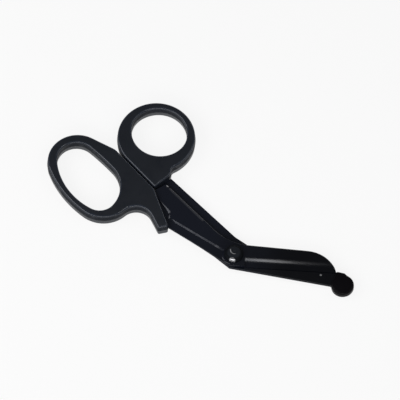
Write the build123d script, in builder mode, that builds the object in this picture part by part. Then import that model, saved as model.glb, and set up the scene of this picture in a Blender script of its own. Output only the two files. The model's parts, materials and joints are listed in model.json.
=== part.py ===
from build123d import *
from math import acos, atan2, cos, degrees, radians, sin, sqrt
import os

# Bandage scissors: two stamped steel pieces riveted together and bent at the pivot,
# with moulded loops over their tangs and a blunt guard on the lower blade's end.
# Every plan position is measured from the pivot, +X towards the tip and +Y towards
# the thumb loop. Heights are measured from the plane where the two plates meet.

# Steel plates
plate = 2.0
plate_gap = 0.1
edge_land = 0.35

# Upper blade, the piece that carries the finger loop
shank_corner = (-53.4, 24.6)
spine_angle = 19.0
spine_length = 44.4
bend_radius = 30.0
spine_chamfer = 0.5
nose_centre = (42.5, 2.0)
nose_radius = 18.8
nose_end_angle = 41.4
heel = (0.8, -7.2)
heel_radius = 1.2
shank_foot = (-44.5, 0.9)
shank_belly = 0.3
upper_tang = [(-52.0, 6.9), (-68.5, 8.4), (-68.5, 17.9), (-58.2, 17.2)]
upper_anchor = (-62.5, 13.0)
upper_anchor_radius = 2.4
upper_bevel = 3.9
upper_bevel_start = 8.2
grind_round = 1.6

# Coined step along the lower edge of the upper blade's shank
relief_depth = 0.8
relief_slope = 45.0
relief_end = (-6.0, 0.3)
relief_corner = (-42.6, 5.9)
relief_corner_radius = 2.0
relief_top = (-43.8, 9.6)
relief_apex = (-57.0, 16.0)
pivot_land_radius = 6.0

# Lower blade, the piece that carries the thumb loop
rear_top_start = (-52.9, 29.8)
rear_top_bend = (-4.5, 11.2)
rear_shoulder = (3.5, 9.6)
rear_bend_radius = 14.0
rear_shoulder_radius = 2.5
edge_start = (10.5, 4.8)
edge_start_radius = 2.0
edge_end = (56.8, 15.1)
rear_back_end = (56.8, 6.1)
rear_heel = (0.6, -7.5)
rear_waist = (-10.0, -4.3)
rear_hip = (-39.6, 1.9)
lower_tang = [(-58.2, 20.1), (-67.0, 27.4), (-64.1, 32.9), (-54.5, 27.8)]
lower_anchor = (-61.6, 27.9)
lower_anchor_radius = 1.6
lower_bevel = 3.2
tooth_pitch = 1.0
tooth_depth = 0.3
punch_mark = (49.2, 9.7)
punch_mark_radius = 0.6
punch_mark_depth = 0.35
tang_radius = 1.5

# Blunt guard on the lower blade's end
guard_centre = (63.0, 9.0)
guard_radius = 6.4
guard_thickness = 4.5
guard_round = 1.3
guard_collar = 0.3
guard_peak = (61.0, 16.2)
guard_cheek = (65.8, 14.4)
guard_throat = 222.0
guard_tongue = 8.5
guard_tongue_width = 5.0

# Pivot rivet and its washer
rivet_radius = 2.4
running_clearance = 0.05
head_radius = 5.2
head_height = 3.0
head_rim = 0.6
dimple_radius = 1.9
dimple_depth = 0.55
rear_head_radius = 4.2
rear_head_height = 1.2
washer_radius = 5.0
washer_thickness = 0.5

# Moulded loops
handle_thickness = 8.4
draft = 4.0
edge_round = 1.1
corner_round = 1.2
mating_gap = 0.35

# Thumb loop: a round ring, with an opening of four arcs set towards its far side
thumb_centre = (-71.0, 48.7)
thumb_radius = 22.0
thumb_hole_shift = (0.3, 3.2)
thumb_hole_spread = 6.0
thumb_hole_wall = 9.4
thumb_hole_swell = 0.2
mating_angle = -23.9
mating_length = 23.9
thumb_end = (-53.6, 29.1)
neck_bearing = -37.1
neck_radius = 3.4
neck_start_angle = 215.0

# Finger loop: a small far end and a larger near end, with an opening of five arcs
finger_far = (-104.4, 16.0)
finger_far_radius = 17.0
finger_near = (-83.4, 5.6)
finger_near_radius = 18.2
finger_bottom_radius = 62.2
finger_hole_far_shift = (-0.8, 0.3)
finger_hole_far_wall = 6.3
finger_hole_near_shift = (-0.4, -4.4)
finger_hole_near_wall = 9.0
finger_hole_lean = 165.7
finger_hole_swell = 9.0
finger_hole_top_radius = 139.0
finger_hole_bottom_radius = 38.7
crotch_reach = 9.1
crotch_radius = 10.0
choil_centre = (-58.3, -4.9)
finger_end_low = (-45.2, -4.1)
finger_end_high = (-40.2, -0.2)

# The origin is under the middle of the whole outline, at the loops' undersides.
half_handle = handle_thickness / 2
outline_left = finger_far[0] - finger_far_radius
outline_right = guard_centre[0] + guard_radius
outline_front = finger_near[1] - finger_near_radius
outline_back = thumb_centre[1] + thumb_radius
pivot_x = -(outline_left + outline_right) / 2
pivot_y = -(outline_front + outline_back) / 2
meeting = Plane(origin=(pivot_x, pivot_y, half_handle))
pivot_axis = Axis((pivot_x, pivot_y, 0), (0, 0, 1))

upper_base = plate_gap / 2
upper_face = upper_base + plate
lower_face = -plate_gap / 2
lower_base = lower_face - plate


def along(start, angle, length):
    """Point at a distance from start in the plan direction angle, in degrees."""
    return Vector(*start) + Vector(cos(radians(angle)), sin(radians(angle))) * length


def bearing(start, end):
    """Plan direction from start to end, in degrees."""
    step = Vector(*end) - Vector(*start)
    return degrees(atan2(step.Y, step.X))


def side_arc(a, radius_a, b, radius_b, radius):
    """Arc on the left of a to b that wraps both end circles: its ends and its middle."""
    first, second = Vector(*a), Vector(*b)
    span = (second - first).length
    forward = (second - first).normalized()
    outward = Vector(-forward.Y, forward.X)
    reach_a, reach_b = radius - radius_a, radius - radius_b
    foot = (reach_a**2 - reach_b**2 + span**2) / (2 * span)
    centre = first + forward * foot - outward * sqrt(reach_a**2 - foot**2)
    start = centre + (first - centre).normalized() * radius
    end = centre + (second - centre).normalized() * radius
    middle = centre + (start + end - centre * 2).normalized() * radius
    return start, middle, end


def round_arc(centre, start, end):
    """Arc clockwise round a centre from start to end."""
    turn = (bearing(centre, start) - bearing(centre, end)) % 360
    radius = (Vector(*start) - Vector(*centre)).length
    return ThreePointArc(start, along(centre, bearing(centre, start) - turn / 2, radius), end)


def corner(sketch, point):
    """The sketch's corner nearest to a plan position."""
    return sketch.vertices().sort_by_distance(Vector(*point))[0]


def across(start, end):
    """Plane across an edge at its start: local X to the edge's left, Y up, Z along it."""
    line = (Vector(*end) - Vector(*start)).normalized()
    origin = meeting.from_local_coords(Vector(*start))
    return Plane(origin=origin, x_dir=Vector(-line.Y, line.X), z_dir=line)


nose_start = along(nose_centre, spine_angle + 90, nose_radius)
nose_middle_angle = (spine_angle + 90 + nose_end_angle) / 2
blade_tip = along(nose_centre, nose_end_angle, nose_radius)
spine_bend = along(nose_start, spine_angle, -spine_length)
upper_edge_length = (blade_tip - Vector(*heel)).length
bevel_foot = Vector(0, upper_base + edge_land)
grind_line = Vector(upper_bevel, upper_face)
bevel_slope = (grind_line - bevel_foot).normalized()

with BuildPart() as upper_blade:
    with BuildSketch(meeting.offset(upper_base)) as upper_outline:
        with BuildLine():
            Polyline(shank_foot, *upper_tang, shank_corner, spine_bend, nose_start)
            ThreePointArc(nose_start, along(nose_centre, nose_middle_angle, nose_radius), blade_tip)
            Line(blade_tip, heel)
            SagittaArc(heel, shank_foot, -shank_belly)
        make_face()
        fillet(corner(upper_outline, spine_bend), bend_radius)
        fillet(corner(upper_outline, heel), heel_radius)
        fillet([corner(upper_outline, point) for point in upper_tang[1:3]], tang_radius)
    extrude(amount=plate)
    spine_middle = meeting.offset(upper_face).from_local_coords((Vector(*shank_corner) + spine_bend) * 0.5)
    chamfer(upper_blade.edges().sort_by_distance(spine_middle)[0], spine_chamfer)
    # Step coined into the front face, with a sloping wall and a round land at the pivot
    with BuildSketch(meeting.offset(upper_face)) as relief:
        with BuildLine():
            Polyline(
                relief_end,
                relief_corner,
                relief_top,
                relief_apex,
                (relief_apex[0], heel[1] - plate),
                (heel[0], heel[1] - plate),
                (heel[0], relief_end[1]),
                close=True,
            )
        make_face()
        fillet([corner(relief, relief_corner), corner(relief, relief_top)], relief_corner_radius)
        Circle(pivot_land_radius, mode=Mode.SUBTRACT)
    extrude(amount=-relief_depth, taper=relief_slope, mode=Mode.SUBTRACT)
    # Ground bevel from a softly rounded grind line down to the cutting edge
    with BuildSketch(across(heel, blade_tip).offset(upper_bevel_start)):
        with BuildLine():
            Line(bevel_foot, grind_line - bevel_slope * grind_round)
            TangentArc(
                grind_line - bevel_slope * grind_round,
                grind_line + Vector(grind_round, 0),
                tangent=bevel_slope,
            )
            Polyline(
                grind_line + Vector(grind_round, 0),
                grind_line + Vector(grind_round, plate),
                (-plate, upper_face + plate),
                (-plate, upper_base + edge_land),
                bevel_foot,
            )
        make_face()
    extrude(amount=upper_edge_length, mode=Mode.SUBTRACT)
    with BuildSketch(meeting.offset(upper_base)):
        Circle(rivet_radius)
        with Locations(upper_anchor):
            Circle(upper_anchor_radius)
    extrude(amount=plate, mode=Mode.SUBTRACT)
upper_blade.part.label = "upper_blade"

lower_edge_angle = bearing(edge_start, edge_end)
lower_edge_length = (Vector(*edge_end) - Vector(*edge_start)).length
guard_root = (Vector(*edge_end) + Vector(*rear_back_end)) * 0.5
tongue_side = Vector(0, guard_tongue_width / 2)
tongue_end = Vector(guard_root.X + guard_tongue, guard_centre[1])
tooth_count = int((lower_edge_length - edge_start_radius) / tooth_pitch)

with BuildPart() as lower_blade:
    with BuildSketch(meeting.offset(lower_base)) as lower_outline:
        with BuildLine():
            Polyline(
                rear_top_start,
                rear_top_bend,
                rear_shoulder,
                edge_start,
                edge_end,
                guard_root + tongue_side,
                tongue_end + tongue_side,
                tongue_end - tongue_side,
                guard_root - tongue_side,
                rear_back_end,
                rear_heel,
                rear_waist,
                rear_hip,
                *lower_tang,
                close=True,
            )
        make_face()
        fillet(corner(lower_outline, rear_top_bend), rear_bend_radius)
        fillet(corner(lower_outline, rear_shoulder), rear_shoulder_radius)
        fillet(corner(lower_outline, edge_start), edge_start_radius)
        fillet(corner(lower_outline, rear_heel), heel_radius)
        fillet([corner(lower_outline, point) for point in lower_tang[1:3]], tang_radius)
    extrude(amount=plate)
    # Ground bevel on the rear face, up to the serrated edge
    with BuildSketch(across(edge_start, edge_end).offset(edge_start_radius)):
        with BuildLine():
            Polyline(
                (0, lower_face - edge_land),
                (-lower_bevel, lower_base),
                (-lower_bevel, lower_base - plate),
                (plate, lower_base - plate),
                (plate, lower_face - edge_land),
                close=True,
            )
        make_face()
    extrude(amount=lower_edge_length - edge_start_radius, mode=Mode.SUBTRACT)
    # Fine teeth along the cutting edge
    with BuildSketch(meeting.offset(lower_base)):
        for index in range(tooth_count):
            place = along(edge_start, lower_edge_angle, edge_start_radius + index * tooth_pitch)
            with Locations(Location(place, lower_edge_angle)):
                Polygon(
                    (-tooth_pitch / 2, tooth_depth),
                    (0, -tooth_depth),
                    (tooth_pitch / 2, tooth_depth),
                    align=None,
                )
    extrude(amount=plate, mode=Mode.SUBTRACT)
    with BuildSketch(meeting.offset(lower_base)):
        Circle(rivet_radius + running_clearance)
        with Locations(lower_anchor):
            Circle(lower_anchor_radius)
    extrude(amount=plate, mode=Mode.SUBTRACT)
    with BuildSketch(meeting.offset(lower_face)):
        with Locations(punch_mark):
            Circle(punch_mark_radius)
    extrude(amount=-punch_mark_depth, mode=Mode.SUBTRACT)
lower_blade.part.label = "lower_blade"

# Straight faces where the two loops meet when the scissors are closed
mating_out = along((0, 0), mating_angle - 90, 1)
thumb_tangent = Vector(*thumb_centre) + mating_out * thumb_radius
thumb_corner = along(thumb_tangent, mating_angle, mating_length)
neck_centre = along(thumb_centre, neck_bearing, thumb_radius + neck_radius)
neck_top = along(thumb_centre, neck_bearing, thumb_radius)
neck_start = along(neck_centre, neck_start_angle, neck_radius)
thumb_hole_middle = Vector(*thumb_centre) + Vector(*thumb_hole_shift)
thumb_hole_left = thumb_hole_middle - Vector(thumb_hole_spread / 2, 0)
thumb_hole_right = thumb_hole_middle + Vector(thumb_hole_spread / 2, 0)
thumb_hole_radius = thumb_radius - thumb_hole_wall
thumb_hole_ends = (thumb_hole_left, thumb_hole_radius, thumb_hole_right, thumb_hole_radius)
thumb_hole_side_radius = thumb_hole_radius + thumb_hole_spread / 2 + thumb_hole_swell
thumb_hole_far_side = side_arc(*thumb_hole_ends, thumb_hole_side_radius)
thumb_hole_near_side = side_arc(*thumb_hole_ends[2:], *thumb_hole_ends[:2], thumb_hole_side_radius)

with BuildPart() as thumb_handle:
    with BuildSketch(meeting) as thumb_outline:
        with BuildLine():
            Polyline(thumb_tangent, thumb_corner, thumb_end, neck_start)
            round_arc(neck_centre, neck_start, neck_top)
            round_arc(thumb_centre, thumb_tangent, neck_top)
        make_face()
        fillet([corner(thumb_outline, thumb_corner), corner(thumb_outline, thumb_end)], corner_round)
        with BuildLine():
            ThreePointArc(*thumb_hole_far_side)
            round_arc(thumb_hole_right, thumb_hole_far_side[2], thumb_hole_near_side[0])
            ThreePointArc(*thumb_hole_near_side)
            round_arc(thumb_hole_left, thumb_hole_near_side[2], thumb_hole_far_side[0])
        make_face(mode=Mode.SUBTRACT)
    extrude(amount=half_handle, taper=draft)
    fillet(thumb_handle.faces().sort_by(Axis.Z)[-1].edges(), edge_round)
    mirror(about=meeting)
    add(lower_blade.part, mode=Mode.SUBTRACT)
thumb_handle.part.label = "thumb_handle"

finger_tangent = thumb_tangent + mating_out * mating_gap
finger_crotch = along(finger_tangent, mating_angle, -crotch_reach)
finger_corner = along(finger_tangent, mating_angle, mating_length)
crotch_distance = (finger_crotch - Vector(*finger_far)).length
finger_top_angle = bearing(finger_far, finger_crotch) + degrees(acos(finger_far_radius / crotch_distance))
finger_top = along(finger_far, finger_top_angle, finger_far_radius)
choil_reach = Vector(*choil_centre) - Vector(*finger_near)
choil_radius = choil_reach.length - finger_near_radius
choil_start = Vector(*finger_near) + choil_reach.normalized() * finger_near_radius
edge_to_end = Vector(*finger_end_low) - Vector(*choil_centre)
choil_end_angle = bearing((0, 0), edge_to_end) + degrees(
    atan2(sqrt(edge_to_end.length**2 - choil_radius**2), choil_radius)
)
choil_end = along(choil_centre, choil_end_angle, choil_radius)
finger_bottom = side_arc(
    finger_near, finger_near_radius, finger_far, finger_far_radius, finger_bottom_radius
)

hole_far = Vector(*finger_far) + Vector(*finger_hole_far_shift)
hole_far_radius = finger_far_radius - finger_hole_far_wall
hole_near = Vector(*finger_near) + Vector(*finger_hole_near_shift)
hole_near_radius = finger_near_radius - finger_hole_near_wall
hole_shoulder = along(hole_near, finger_hole_lean, finger_hole_swell)
hole_shoulder_radius = hole_near_radius + finger_hole_swell
hole_shoulder_end = along(hole_near, finger_hole_lean - 180, hole_near_radius)
hole_top = side_arc(hole_far, hole_far_radius, hole_shoulder, hole_shoulder_radius, finger_hole_top_radius)
hole_bottom = side_arc(hole_near, hole_near_radius, hole_far, hole_far_radius, finger_hole_bottom_radius)

with BuildPart() as finger_handle:
    with BuildSketch(meeting) as finger_outline:
        with BuildLine():
            Polyline(
                finger_top,
                finger_crotch,
                finger_corner,
                finger_end_high,
                finger_end_low,
                choil_end,
            )
            round_arc(choil_centre, choil_start, choil_end)
            round_arc(finger_near, choil_start, finger_bottom[0])
            ThreePointArc(*finger_bottom)
            round_arc(finger_far, finger_bottom[2], finger_top)
        make_face()
        fillet(corner(finger_outline, finger_crotch), crotch_radius)
        for point in (finger_corner, finger_end_high, finger_end_low):
            fillet(corner(finger_outline, point), corner_round)
        with BuildLine():
            ThreePointArc(*hole_top)
            round_arc(hole_shoulder, hole_top[2], hole_shoulder_end)
            round_arc(hole_near, hole_shoulder_end, hole_bottom[0])
            ThreePointArc(*hole_bottom)
            round_arc(hole_far, hole_bottom[2], hole_top[0])
        make_face(mode=Mode.SUBTRACT)
    extrude(amount=half_handle, taper=draft)
    fillet(finger_handle.faces().sort_by(Axis.Z)[-1].edges(), edge_round)
    mirror(about=meeting)
    add(upper_blade.part, mode=Mode.SUBTRACT)
finger_handle.part.label = "finger_handle"

guard_middle = (lower_face + lower_base) / 2

with BuildPart() as safety_tip:
    with BuildSketch(meeting.offset(guard_middle - guard_thickness / 2)) as guard_outline:
        with Locations(guard_centre):
            Circle(guard_radius)
        with BuildLine():
            Polyline(
                (edge_end[0], edge_end[1] + guard_collar),
                guard_peak,
                guard_cheek,
                guard_centre,
                along(guard_centre, guard_throat, guard_radius - guard_round),
                rear_back_end,
                close=True,
            )
        make_face()
        fillet(corner(guard_outline, guard_peak), guard_round)
    extrude(amount=guard_thickness)
    fillet(safety_tip.faces().sort_by(Axis.Z)[-1].edges(), guard_round)
    fillet(safety_tip.faces().sort_by(Axis.Z)[0].edges(), guard_round)
    add(lower_blade.part, mode=Mode.SUBTRACT)
safety_tip.part.label = "safety_tip"

washer_top = lower_base - running_clearance
washer_base = washer_top - washer_thickness
head_top = upper_face + head_height
dimple_ball_radius = (dimple_radius**2 + dimple_depth**2) / (2 * dimple_depth)

with BuildPart() as pivot_rivet:
    with BuildSketch(Plane(origin=meeting.origin, x_dir=(1, 0, 0), z_dir=(0, -1, 0))):
        with BuildLine():
            Line((0, head_top), (0, washer_base - rear_head_height))
            EllipticalCenterArc(
                (0, washer_base),
                rear_head_radius,
                rear_head_height,
                start_angle=270,
                arc_size=90,
            )
            Polyline(
                (rear_head_radius, washer_base),
                (rivet_radius, washer_base),
                (rivet_radius, upper_face),
                (head_radius, upper_face),
                (head_radius, upper_face + head_rim),
            )
            EllipticalCenterArc(
                (0, upper_face + head_rim),
                head_radius,
                head_height - head_rim,
                arc_size=90,
            )
        make_face()
    revolve(axis=pivot_axis)
    # Round dimple left by the riveting tool in the crown of the front head
    with Locations(meeting.offset(head_top - dimple_depth + dimple_ball_radius)):
        Sphere(dimple_ball_radius, mode=Mode.SUBTRACT)
pivot_rivet.part.label = "pivot_rivet"

with BuildPart() as rivet_washer:
    with BuildSketch(meeting.offset(washer_base)):
        Circle(washer_radius)
        Circle(rivet_radius + running_clearance, mode=Mode.SUBTRACT)
    extrude(amount=washer_thickness)
rivet_washer.part.label = "rivet_washer"

os.makedirs("parts", exist_ok=True)
for piece in (
    upper_blade,
    lower_blade,
    finger_handle,
    thumb_handle,
    safety_tip,
    pivot_rivet,
    rivet_washer,
):
    export_step(piece.part, "parts/" + piece.part.label + ".step")
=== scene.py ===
"""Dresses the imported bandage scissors: coated steel, moulded loops, blunt guard, rivet and a studio."""

import json
import math

import bpy
from bpy.props import FloatProperty, FloatVectorProperty, PointerProperty
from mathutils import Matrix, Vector

bl_info = {
    "name": "Bandage Scissors",
    "version": (1, 0, 0),
    "blender": (4, 5, 0),
    "location": "3D View > Sidebar > Scissors",
    "description": "Finishes a pair of angled bandage scissors and lights them on a pale floor",
    "category": "Object",
}

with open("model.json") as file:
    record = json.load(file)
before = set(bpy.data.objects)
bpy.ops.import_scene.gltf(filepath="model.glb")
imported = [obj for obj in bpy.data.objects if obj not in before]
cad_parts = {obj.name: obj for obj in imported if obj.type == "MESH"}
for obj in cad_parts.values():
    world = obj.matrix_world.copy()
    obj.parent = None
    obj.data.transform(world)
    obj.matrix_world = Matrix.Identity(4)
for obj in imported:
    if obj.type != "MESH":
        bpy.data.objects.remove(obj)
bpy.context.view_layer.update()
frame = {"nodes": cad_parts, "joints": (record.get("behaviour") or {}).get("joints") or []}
millimetre = 0.001
pivot = Vector(frame["joints"][0]["pos_m"])

# Painted highlights and glints in bright metal colour on the black coating, with every place measured
# from the pivot

painted_glint_colour = (0.42, 0.42, 0.43, 1.0)
rivet_highlight_spot = Vector((1.1, -4.9, 3.3)) * millimetre
rivet_highlight_radius = 2.1 * millimetre
crescent_centre = Vector((0.0, 1.45, 0.0)) * millimetre
crescent_radius = 2.6 * millimetre
crescent_half_width = 0.15 * millimetre
crescent_middle = Vector((-1.0, -0.9, 0.0)) * millimetre
crescent_reach = 2.7 * millimetre
spine_corner_glint = Vector((-52.2, 23.9, 0.0)) * millimetre
spine_corner_glint_radius = 0.9 * millimetre
punched_mark_glint = Vector((49.2, 9.7, 0.0)) * millimetre
punched_mark_glint_radius = 0.7 * millimetre

# Turns about Z, in degrees, that lay the marks in the blades and loops along X or Y

spine_turn = 22.4
rolling_turn = 25.0
grinding_turn = -21.0
hairline_turn = -38.0
scuff_turn = -24.0

# Studio

floor_width = 6.0
floor_drop = 0.05 * millimetre
floor_white_share = 0.9
scissors_middle = Vector((0.0, 0.0, 0.0))
streak_middle = pivot + Vector((12.0, 4.4, 0.0)) * millimetre
picture_middle = pivot + Vector((-32.5, 24.35, 0.0)) * millimetre
camera_distance = 1.2


# Shader expressions


class Value:
    """A shader socket that adds nodes when it is calculated with."""

    def __init__(self, shader, socket):
        self.shader = shader
        self.socket = socket

    def math(self, operation, *others):
        inputs = dict(enumerate((self, *others)))
        return self.shader.node("ShaderNodeMath", {"operation": operation}, inputs)

    def __add__(self, other):
        return self.math("ADD", other)

    def __sub__(self, other):
        return self.math("SUBTRACT", other)

    def __rsub__(self, other):
        return self.shader.node("ShaderNodeMath", {"operation": "SUBTRACT"}, {0: other, 1: self})

    def __mul__(self, other):
        return self.math("MULTIPLY", other)

    __radd__ = __add__
    __rmul__ = __mul__

    def size(self):
        """The value without its sign."""
        return self.math("ABSOLUTE")

    def ramp(self, low, high):
        """0 below low and 1 above high, with a smooth rise between; low may be the larger."""
        settings = {"interpolation_type": "SMOOTHSTEP", "clamp": True}
        return self.shader.node(
            "ShaderNodeMapRange", settings, {"Value": self, "From Min": low, "From Max": high}
        )

    def band(self, low, high, soft):
        """1 between low and high, falling to 0 over a soft width outside them."""
        return self.ramp(low - soft, low) * self.ramp(high + soft, high)


class Shader:
    """A new material whose tree is written as expressions."""

    def __init__(self, name):
        self.material = bpy.data.materials.new(name)
        self.material.use_nodes = True
        self.tree = self.material.node_tree
        self.tree.nodes.clear()

    def node(self, kind, settings=None, inputs=None, output=0):
        """Adds a node, sets it up, then gives its sockets their values or links."""
        made = self.tree.nodes.new(kind)
        for key, value in (settings or {}).items():
            setattr(made, key, value)
        for key, value in (inputs or {}).items():
            if isinstance(value, Value):
                self.tree.links.new(value.socket, made.inputs[key])
            else:
                made.inputs[key].default_value = value
        return Value(self, made.outputs[output] if made.outputs else None)

    def parts(self, vector):
        """The X, Y and Z parts of a vector."""
        outputs = self.node("ShaderNodeSeparateXYZ", None, {0: vector}).socket.node.outputs
        return [Value(self, output) for output in outputs]

    def place(self, turn=0.0, stretch=(1.0, 1.0, 1.0)):
        """Object coordinates from the pivot, turned about Z and then stretched."""
        coordinates = self.node("ShaderNodeTexCoord", output="Object")
        centred = self.node(
            "ShaderNodeVectorMath", {"operation": "SUBTRACT"}, {0: coordinates, 1: pivot}
        )
        return self.node(
            "ShaderNodeMapping",
            {"vector_type": "POINT"},
            {"Vector": self.turned(centred, turn), "Scale": stretch},
        )

    def plan(self):
        """Object coordinates from the pivot as seen from above, without their height."""
        return self.place(0.0, (1.0, 1.0, 0.0))

    def turned(self, vector, turn):
        """The vector turned about Z by an angle in degrees."""
        return self.node(
            "ShaderNodeVectorRotate",
            {"rotation_type": "Z_AXIS"},
            {"Vector": vector, "Angle": math.radians(turn)},
        )

    def noise(self, place, grain, detail=2.0, roughness=0.5):
        """Noise from 0 to 1 whose spots are about one grain, in metres, across."""
        return self.node(
            "ShaderNodeTexNoise",
            None,
            {"Vector": place, "Scale": 1.0 / grain, "Detail": detail, "Roughness": roughness},
        )

    def distance(self, place, centre):
        """Distance from a point, in metres."""
        inputs = {0: place, 1: centre}
        return self.node("ShaderNodeVectorMath", {"operation": "DISTANCE"}, inputs, output="Value")

    def spot(self, place, centre, radius):
        """1 near a point and 0 beyond the radius, in metres."""
        return self.distance(place, centre).ramp(radius, radius * 0.65)

    def tilt(self):
        """How much the surface faces up or down: 1 on a level face and 0 on a wall."""
        return self.parts(self.node("ShaderNodeNewGeometry", output="Normal"))[2].size()

    def mix(self, factor, first, second):
        """Colour between two colours."""
        inputs = {0: factor, 6: first, 7: second}
        return self.node("ShaderNodeMix", {"data_type": "RGBA"}, inputs, output=2)

    def bump(self, height, depth, strength=1.0, under=None):
        """Normal that stands for a relief of this depth, in metres."""
        inputs = {"Height": height, "Distance": depth, "Strength": strength}
        if under:
            inputs["Normal"] = under
        return self.node("ShaderNodeBump", None, inputs)

    def surface(self, colour, roughness, normal, gloss, metallic=0.0):
        """Principled surface from its main inputs."""
        inputs = {
            "Base Color": colour,
            "Roughness": roughness,
            "Metallic": metallic,
            "Normal": normal,
            "Specular IOR Level": gloss,
        }
        return self.node("ShaderNodeBsdfPrincipled", None, inputs)

    def dulled(self, amount, surface, colour, normal):
        """The surface where amount is 0, and one that hardly reflects where it is 1."""
        dull = self.surface(colour, 0.75, normal, 0.03)
        return self.node("ShaderNodeMixShader", None, {0: amount, 1: surface, 2: dull})

    def finish(self, surface):
        """Closes the tree and returns the material."""
        self.node("ShaderNodeOutputMaterial", None, {"Surface": surface})
        return self.material


def shade(colour, factor):
    """A colour made lighter or darker by a factor, with its alpha."""
    return tuple(min(1.0, part * factor) for part in colour[:3]) + (1.0,)


# Finishes


def loop_plastic(finish):
    """Satin moulded plastic: spark-eroded grain, flow clouds, rubbed edges and light scuffs, with a
    painted highlight along the edges and the parting seam and painted light on the lower half of the
    walls.
    """
    shader = Shader("loop_plastic")
    place = shader.place()
    height = shader.parts(place)[2]
    tilt = shader.tilt()
    edge = tilt.band(0.2, 0.985, 0.015)
    wall = tilt.ramp(0.3, 0.12)
    upper_wall = wall * height.ramp(-0.2 * millimetre, 0.6 * millimetre)
    painted_light_lower_wall = wall * height.ramp(-0.1 * millimetre, -0.9 * millimetre)
    seam_ridge_and_highlight = wall * height.size().ramp(0.22 * millimetre, 0.04 * millimetre)

    grain = shader.noise(place, finish.grain, 3.0, 0.6)
    clouds = shader.noise(place, 18 * millimetre, 3.0, 0.55)
    smudges = shader.noise(place, 6 * millimetre, 4.0, 0.6).ramp(0.48, 0.72)
    rubbed = edge * shader.noise(place, 3.5 * millimetre, 4.0, 0.65).ramp(0.42, 0.62)
    scuffs = shader.noise(shader.place(scuff_turn, (0.08, 1.0, 1.0)), 0.5 * millimetre, 2.0, 0.6)
    scuffs = scuffs.ramp(0.68, 0.78)
    waves = shader.noise(place, 12 * millimetre, 1.0)

    colour = shader.mix(clouds, shade(finish.colour, 0.85), shade(finish.colour, 1.2))
    # Painted light: the lower half of each wall is made lighter
    colour = shader.mix(painted_light_lower_wall * (clouds * 0.4 + 0.6), colour, shade(finish.colour, 1.9))
    # Painted highlight along the parting seam, whose ridge is also bumped
    colour = shader.mix(seam_ridge_and_highlight * 0.5, colour, shade(finish.colour, 2.6))
    # Painted highlight along the rounded edges, plus lighter rubbed wear on them
    colour = shader.mix(edge * 0.45 + rubbed * 0.2, colour, shade(finish.colour, 3.2))
    colour = shader.mix(scuffs * 0.25, colour, shade(finish.colour, 2.6))
    roughness = finish.roughness + (clouds - 0.5) * 0.14 - smudges * 0.07
    roughness = roughness - edge * 0.22 - rubbed * 0.03 + scuffs * 0.12
    normal = shader.bump(grain * (1 - edge * 0.9) + seam_ridge_and_highlight * 3.0, finish.grain * 0.06, 0.5)
    normal = shader.bump(waves, 0.12 * millimetre, 0.35, normal)
    surface = shader.surface(colour, roughness, normal, finish.gloss)
    dull = upper_wall * (0.8 - smudges * 0.3)
    return shader.finish(shader.dulled(dull, surface, colour, normal))


def guard_plastic(finish):
    """Smooth moulded plastic with faint flow marks and a few rubbed spots."""
    shader = Shader("guard_plastic")
    place = shader.place()
    grain = shader.noise(place, finish.grain, 2.0, 0.5)
    clouds = shader.noise(place, 5 * millimetre, 3.0, 0.6)
    rubbed = shader.noise(place, 1.2 * millimetre, 3.0, 0.6).ramp(0.56, 0.74)
    colour = shader.mix(clouds, shade(finish.colour, 0.8), shade(finish.colour, 1.25))
    colour = shader.mix(rubbed * 0.3, colour, shade(finish.colour, 2.0))
    roughness = finish.roughness + (clouds - 0.5) * 0.12 + rubbed * 0.1
    normal = shader.bump(grain, finish.grain * 0.05, 0.4)
    return shader.finish(shader.surface(colour, roughness, normal, finish.gloss))


def painted_spine_highlight(shader, height, tilt):
    """1 on the upper face of the shank in a band beside its spine, where a highlight is painted."""
    along, across, _ = shader.parts(shader.place(spine_turn))
    beside_spine = across.band(1.4 * millimetre, 3.0 * millimetre, 0.6 * millimetre)
    on_shank = along.band(-55 * millimetre, -28 * millimetre, 1 * millimetre)
    on_top = height.ramp(0.5 * millimetre, 1.5 * millimetre) * tilt.ramp(0.4, 0.6)
    return beside_spine * on_shank * on_top


def painted_glints(shader, height):
    """1 at the painted glints on the corner of the upper blade's spine and in the lower blade's punched
    mark.
    """
    plan = shader.plan()
    # Painted glint: a spot of bright metal colour at the corner of the upper blade's spine
    spine_glint = shader.spot(plan, spine_corner_glint, spine_corner_glint_radius)
    spine_glint = spine_glint * height.ramp(0.0, 0.4 * millimetre)
    # Painted glint: a spot of bright metal colour in the punched mark
    mark_glint = shader.spot(plan, punched_mark_glint, punched_mark_glint_radius)
    mark_glint = mark_glint * height.band(-0.8 * millimetre, 0.0, 0.2 * millimetre)
    return spine_glint + mark_glint


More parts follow.
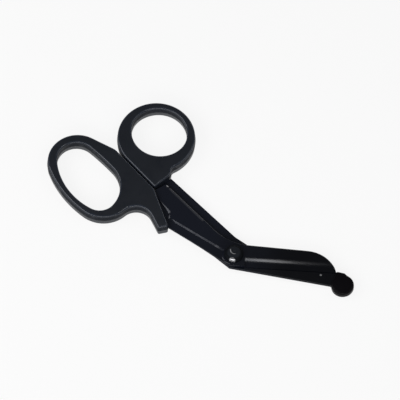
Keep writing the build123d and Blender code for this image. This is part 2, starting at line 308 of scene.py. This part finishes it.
def coated_steel(finish):
    """Black-coated ground steel: rolled grain, ground bevels, coined slopes and rubbed edges, with
    painted light towards the handles, painted shade towards the tip, a painted highlight along the spine
    and painted glints.
    """
    shader = Shader("coated_steel")
    place = shader.place()
    along, _, height = shader.parts(place)
    # Painted light: the steel is made lighter towards the handles
    painted_light_toward_handles = along.ramp(2 * millimetre, -22 * millimetre)
    near_pivot = along.band(-8.5 * millimetre, 3 * millimetre, 1.5 * millimetre)
    # Painted shade: the steel is made darker towards the tip
    painted_shade_toward_tip = along.ramp(8 * millimetre, 30 * millimetre)
    tilt = shader.tilt()
    bevel = tilt.band(0.86, 0.97, 0.01)
    slope = tilt.band(0.5, 0.85, 0.03)
    edge = tilt.band(0.25, 0.8, 0.08)
    wall = tilt.ramp(0.3, 0.1)

    rolled = shader.noise(shader.place(rolling_turn, (0.03, 1.0, 1.0)), finish.grain, 3.0, 0.6)
    ground = shader.noise(shader.place(grinding_turn, (1.0, 0.03, 1.0)), finish.grain, 3.0, 0.65)
    lines = shader.node("ShaderNodeMix", None, {0: bevel, 2: rolled, 3: ground})
    clouds = shader.noise(place, 14 * millimetre, 3.0, 0.55)
    patches = shader.noise(place, 7 * millimetre, 2.0, 0.5).ramp(0.38, 0.62)
    fine = shader.noise(place, 0.2 * millimetre, 2.0, 0.6)
    hairlines = shader.noise(shader.place(hairline_turn, (0.02, 1.0, 1.0)), 0.22 * millimetre, 1.0)
    hairlines = hairlines.ramp(0.7, 0.78)
    worn = shader.noise(place, 1.6 * millimetre, 4.0, 0.7).ramp(0.45, 0.7)
    worn = (edge * 0.1 + wall * 0.6) * worn

    colour = shader.mix(clouds, shade(finish.colour, 0.85), shade(finish.colour, 1.2))
    # Paints light on the shank near the handles and shade on the blades towards the tip
    colour = shader.mix(painted_light_toward_handles * 0.8, colour, shade(finish.colour, 2.1))
    colour = shader.mix(painted_shade_toward_tip * 0.9, colour, shade(finish.colour, 0.1))
    # Painted highlight: a faint band of bright metal colour along the shank's spine
    colour = shader.mix(painted_spine_highlight(shader, height, tilt) * 0.09, colour, painted_glint_colour)
    # Painted glints in bright metal colour at the spine's corner and the punched mark
    colour = shader.mix(painted_glints(shader, height), colour, painted_glint_colour)
    colour = shader.mix(lines * 0.35, colour, shade(finish.colour, 1.5))
    colour = shader.mix(worn * 0.5, colour, shade(finish.colour, 3.0))
    colour = shader.mix(hairlines * 0.3, colour, shade(finish.colour, 2.5))
    roughness = finish.roughness + (clouds - 0.5) * 0.1 + (lines - 0.5) * 0.12 + fine * 0.03
    roughness = roughness + slope * (patches * 0.2 + 0.1) - worn * 0.08
    normal = shader.bump(lines * (1 - slope * 0.8), finish.grain * 0.02, 0.25)
    normal = shader.bump(fine, 0.004 * millimetre, 0.2, normal)
    surface = shader.surface(colour, roughness, normal, finish.gloss, 0.3 + worn * 0.4)
    dull = wall * 0.75 + edge * near_pivot * 0.8
    return shader.finish(shader.dulled(dull, surface, colour, normal))


def rivet_steel(finish):
    """Black-coated steel turned on a lathe: fine rings, a painted highlight spot and a painted crescent
    glint in bright metal colour.
    """
    shader = Shader("rivet_steel")
    place = shader.place()
    along, across, _ = shader.parts(place)
    radius = (along * along + across * across).math("SQRT")
    ring_place = shader.node("ShaderNodeCombineXYZ", None, {0: radius, 1: 0.0, 2: 0.0})
    rings = shader.noise(ring_place, finish.grain, 2.0, 0.6)
    spots = shader.noise(place, 1.2 * millimetre, 4.0, 0.6)

    # Painted highlight: a spot of bright metal colour on the near rim of the rivet's dome
    highlight_spot = shader.spot(place, rivet_highlight_spot, rivet_highlight_radius)
    plan = shader.plan()
    inside = crescent_radius - crescent_half_width
    outside = crescent_radius + crescent_half_width
    # Painted glint: a thin crescent of bright metal colour by the dome's dimple
    arc = shader.distance(plan, crescent_centre).band(inside, outside, 0.2 * millimetre)
    crescent_glint = arc * shader.spot(plan, crescent_middle, crescent_reach) * (1 - highlight_spot)
    coated = (shader.tilt().ramp(0.96, 0.86) * 0.25 + 0.75) * (1 - highlight_spot)

    colour = shader.mix(spots, shade(finish.colour, 0.8), shade(finish.colour, 1.3))
    colour = shader.mix(coated * 0.95, colour, shade(finish.colour, 0.1))
    # Paints the highlight spot and the crescent glint in bright metal colour
    colour = shader.mix(highlight_spot * 0.85 + crescent_glint * 0.6, colour, painted_glint_colour)
    roughness = finish.roughness + (spots - 0.5) * 0.04 + rings * 0.02
    roughness = roughness + coated * 0.4 + crescent_glint * 0.3
    normal = shader.bump(rings, finish.grain * 0.01, 0.05)
    surface = shader.surface(colour, roughness, normal, finish.gloss, 0.8 - crescent_glint * 0.8)
    return shader.finish(shader.dulled(coated * 0.92, surface, colour, normal))


def pale_floor(colour, white_share):
    """Pale floor, near white to the camera and in reflections, that keeps a soft shadow."""
    shader = Shader("pale_floor")
    camera = shader.node("ShaderNodeLightPath", output="Is Camera Ray")
    reflected = shader.node("ShaderNodeLightPath", output="Is Glossy Ray")
    refracted = shader.node("ShaderNodeLightPath", output="Is Transmission Ray")
    seen = (camera + reflected + refracted).math("MINIMUM", 1.0)
    lit = shader.node("ShaderNodeBsdfDiffuse", None, {"Color": shade(colour, 1.0)})
    white = shader.node("ShaderNodeEmission", None, {"Color": shade(colour, 1.0), "Strength": 1.0})
    top = shader.node("ShaderNodeMixShader", None, {0: seen * white_share, 1: lit, 2: white})
    under = shader.node("ShaderNodeBsdfTransparent")
    back = shader.node("ShaderNodeNewGeometry", output="Backfacing")
    return shader.finish(shader.node("ShaderNodeMixShader", None, {0: back, 1: top, 2: under}))


def paint(names, material):
    """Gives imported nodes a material."""
    for name in names:
        for slot in frame["nodes"][name].material_slots:
            slot.material = material


# Settings


def finish_properties(colour, roughness, grain, gloss):
    """The properties that every finish has, with this finish's defaults."""
    return {
        "colour": FloatVectorProperty(
            name="Colour",
            description="Base colour of the surface",
            subtype="COLOR",
            size=3,
            min=0.0,
            max=1.0,
            default=colour,
        ),
        "roughness": FloatProperty(
            name="Roughness",
            description="Mean roughness of the surface",
            subtype="FACTOR",
            min=0.0,
            max=1.0,
            default=roughness,
        ),
        "grain": FloatProperty(
            name="Grain",
            description="Width of the finest marks in the surface",
            unit="LENGTH",
            precision=5,
            default=grain,
        ),
        "gloss": FloatProperty(
            name="Gloss",
            description="Strength of the reflection at right angles",
            subtype="FACTOR",
            min=0.0,
            max=1.0,
            default=gloss,
        ),
    }


class LoopFinish(bpy.types.PropertyGroup):
    """Finish of the moulded loops"""

    __annotations__ = finish_properties(
        colour=(0.0078, 0.0098, 0.0145), roughness=0.42, grain=0.22 * millimetre, gloss=0.4
    )


class GuardFinish(bpy.types.PropertyGroup):
    """Finish of the blunt guard"""

    __annotations__ = finish_properties(
        colour=(0.0032, 0.0028, 0.0037), roughness=0.3, grain=0.12 * millimetre, gloss=0.06
    )


class SteelFinish(bpy.types.PropertyGroup):
    """Finish of both blades"""

    __annotations__ = finish_properties(
        colour=(0.0054, 0.0065, 0.0108), roughness=0.16, grain=0.09 * millimetre, gloss=0.45
    )


class RivetFinish(bpy.types.PropertyGroup):
    """Finish of the rivet and its washer"""

    __annotations__ = finish_properties(
        colour=(0.036, 0.042, 0.053), roughness=0.24, grain=0.08 * millimetre, gloss=0.4
    )


class StudioSettings(bpy.types.PropertyGroup):
    """Camera and light"""

    azimuth: FloatProperty(
        name="Azimuth",
        description="Camera's direction round the scissors",
        subtype="ANGLE",
        default=math.radians(25.2),
    )
    elevation: FloatProperty(
        name="Elevation",
        description="Camera's height above the horizon",
        subtype="ANGLE",
        default=math.radians(61.0),
    )
    width: FloatProperty(
        name="Frame width",
        description="Width that the picture takes in",
        unit="LENGTH",
        default=0.2242,
    )
    room: FloatProperty(
        name="Room light",
        description="Strength of the even light from all round",
        min=0.0,
        default=0.1,
    )
    floor: FloatVectorProperty(
        name="Floor colour",
        description="Colour of the pale floor",
        subtype="COLOR",
        size=3,
        min=0.0,
        max=1.0,
        default=(0.972, 0.972, 0.972),
    )


# Operators


class SCISSORS_OT_loops(bpy.types.Operator):
    """Finish the finger loop and the thumb loop"""

    bl_idname = "scissors.loops"
    bl_label = "Moulded loops"

    def execute(self, context):
        paint(["finger_handle", "thumb_handle"], loop_plastic(context.scene.scissors_loops))
        return {"FINISHED"}


class SCISSORS_OT_blades(bpy.types.Operator):
    """Finish the upper and the lower blade"""

    bl_idname = "scissors.blades"
    bl_label = "Blades"

    def execute(self, context):
        paint(["upper_blade", "lower_blade"], coated_steel(context.scene.scissors_steel))
        return {"FINISHED"}


class SCISSORS_OT_guard(bpy.types.Operator):
    """Finish the blunt guard"""

    bl_idname = "scissors.guard"
    bl_label = "Blunt guard"

    def execute(self, context):
        paint(["safety_tip"], guard_plastic(context.scene.scissors_guard))
        return {"FINISHED"}


class SCISSORS_OT_rivet(bpy.types.Operator):
    """Finish the pivot rivet and its washer"""

    bl_idname = "scissors.rivet"
    bl_label = "Pivot rivet"

    def execute(self, context):
        paint(["pivot_rivet", "rivet_washer"], rivet_steel(context.scene.scissors_rivet))
        return {"FINISHED"}


class SCISSORS_OT_studio(bpy.types.Operator):
    """Set up the floor, the soft lights and the camera"""

    bl_idname = "scissors.studio"
    bl_label = "Studio"

    def execute(self, context):
        settings = context.scene.scissors_studio
        self.add_floor(settings)
        self.add_room_light(context.scene, settings)
        self.add_lamps(context.scene)
        self.add_camera(context.scene, settings)
        return {"FINISHED"}

    def add_floor(self, settings):
        bpy.ops.mesh.primitive_plane_add(size=floor_width)
        floor = bpy.context.object
        floor.name = "floor"
        floor.location.z = -floor_drop
        floor.data.materials.append(pale_floor(settings.floor, floor_white_share))

    def add_room_light(self, scene, settings):
        world = bpy.data.worlds.new("room")
        world.use_nodes = True
        background = world.node_tree.nodes["Background"]
        background.inputs["Color"].default_value = (1.0, 1.0, 1.0, 1.0)
        background.inputs["Strength"].default_value = settings.room
        scene.world = world

    def add_lamps(self, scene):
        for name, target, azimuth, elevation, distance, size, brightness in (
            ("front_softbox", scissors_middle, 14.0, 33.0, 1.1, (1.8, 0.36), 4.2),
            ("left_softbox", scissors_middle, -62.0, 38.0, 0.6, (0.5, 0.3), 3.6),
            ("right_softbox", scissors_middle, 115.0, 42.0, 1.2, (0.8, 0.8), 1.2),
            ("back_softbox", scissors_middle, 190.0, 10.0, 1.3, (1.6, 0.2), 2.5),
            ("streak_lamp", streak_middle, 205.0, 83.0, 0.2, (0.02, 0.075), 9.5),
        ):
            light = bpy.data.lights.new(name, "AREA")
            light.shape = "RECTANGLE"
            light.size, light.size_y = size
            light.energy = brightness * math.pi * light.size * light.size_y
            lamp = bpy.data.objects.new(name, light)
            scene.collection.objects.link(lamp)
            aim(lamp, target, math.radians(azimuth), math.radians(elevation), distance)

    def add_camera(self, scene, settings):
        data = bpy.data.cameras.new("camera")
        data.type = "ORTHO"
        data.ortho_scale = settings.width
        data.clip_start = 0.01
        data.clip_end = 20.0
        camera = bpy.data.objects.new("camera", data)
        scene.collection.objects.link(camera)
        aim(camera, picture_middle, settings.azimuth, settings.elevation, camera_distance)
        scene.camera = camera
        scene.view_settings.view_transform = "Standard"


def aim(item, target, azimuth, elevation, distance):
    """Puts a lamp or camera round a target, its angles in radians, and turns it to the target."""
    level = math.cos(elevation)
    away = Vector((math.sin(azimuth) * level, -math.cos(azimuth) * level, math.sin(elevation)))
    item.location = target + away * distance
    item.rotation_euler = away.to_track_quat("Z", "Y").to_euler()


class SCISSORS_PT_panel(bpy.types.Panel):
    """Lists the pieces and the studio"""

    bl_label = "Bandage Scissors"
    bl_space_type = "VIEW_3D"
    bl_region_type = "UI"
    bl_category = "Scissors"

    def draw(self, context):
        for operator in operators:
            self.layout.operator(operator.bl_idname)
        for name in settings_groups:
            box = self.layout.box()
            group = getattr(context.scene, name)
            box.label(text=group.bl_rna.name)
            for key in group.__annotations__:
                box.prop(group, key)


settings_groups = {
    "scissors_loops": LoopFinish,
    "scissors_steel": SteelFinish,
    "scissors_guard": GuardFinish,
    "scissors_rivet": RivetFinish,
    "scissors_studio": StudioSettings,
}
operators = (
    SCISSORS_OT_loops,
    SCISSORS_OT_blades,
    SCISSORS_OT_guard,
    SCISSORS_OT_rivet,
    SCISSORS_OT_studio,
)


def register():
    for item in (*settings_groups.values(), *operators, SCISSORS_PT_panel):
        bpy.utils.register_class(item)
    for name, group in settings_groups.items():
        setattr(bpy.types.Scene, name, PointerProperty(type=group))


def unregister():
    for name in settings_groups:
        delattr(bpy.types.Scene, name)
    for item in reversed((*settings_groups.values(), *operators, SCISSORS_PT_panel)):
        bpy.utils.unregister_class(item)


def main():
    register()
    bpy.ops.scissors.loops()
    bpy.ops.scissors.blades()
    bpy.ops.scissors.guard()
    bpy.ops.scissors.rivet()
    bpy.ops.scissors.studio()


if __name__ == "__main__":
    main()
